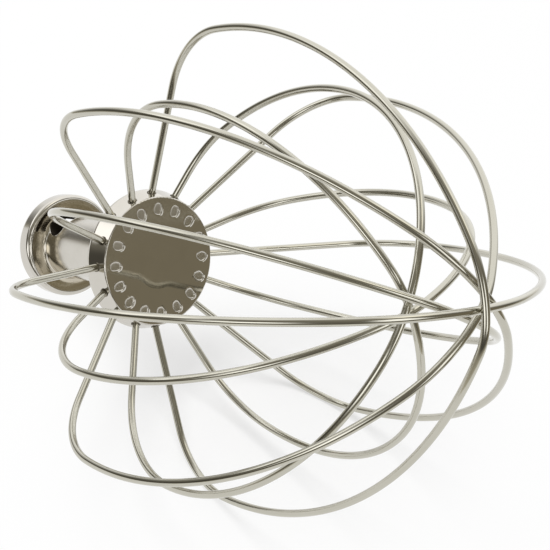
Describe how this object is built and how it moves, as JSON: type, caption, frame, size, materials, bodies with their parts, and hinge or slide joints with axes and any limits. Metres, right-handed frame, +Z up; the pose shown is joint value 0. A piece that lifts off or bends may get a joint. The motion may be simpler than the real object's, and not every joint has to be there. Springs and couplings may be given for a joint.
{
  "type": "stand mixer wire whisk",
  "caption": "Balloon whisk for a stand mixer: bent wire loops, large ones around smaller ones, staked into the flange of a polished hub with a bayonet shaft socket.",
  "frame": {"origin": "middle of the bounding box at floor level, with the whisk lying as it comes to rest on its collar and on outer_wire_1 and outer_wire_2", "axes": "+Z up; +X along the floor from the hub towards the nose of the wires, straight below the hub's axis, which rises about 31 degrees towards the nose"},
  "size_m": [0.1768, 0.1404, 0.1382],
  "materials": {
    "hub": "polished",
    "wire": "polished"
  },
  "bodies": {
    "root": {"hub": "hub", "outer_wire_1": "wire", "outer_wire_2": "wire", "outer_wire_3": "wire", "outer_wire_4": "wire", "inner_wire_1": "wire", "inner_wire_2": "wire", "inner_wire_3": "wire", "inner_wire_4": "wire"}
  },
  "joints": []
}
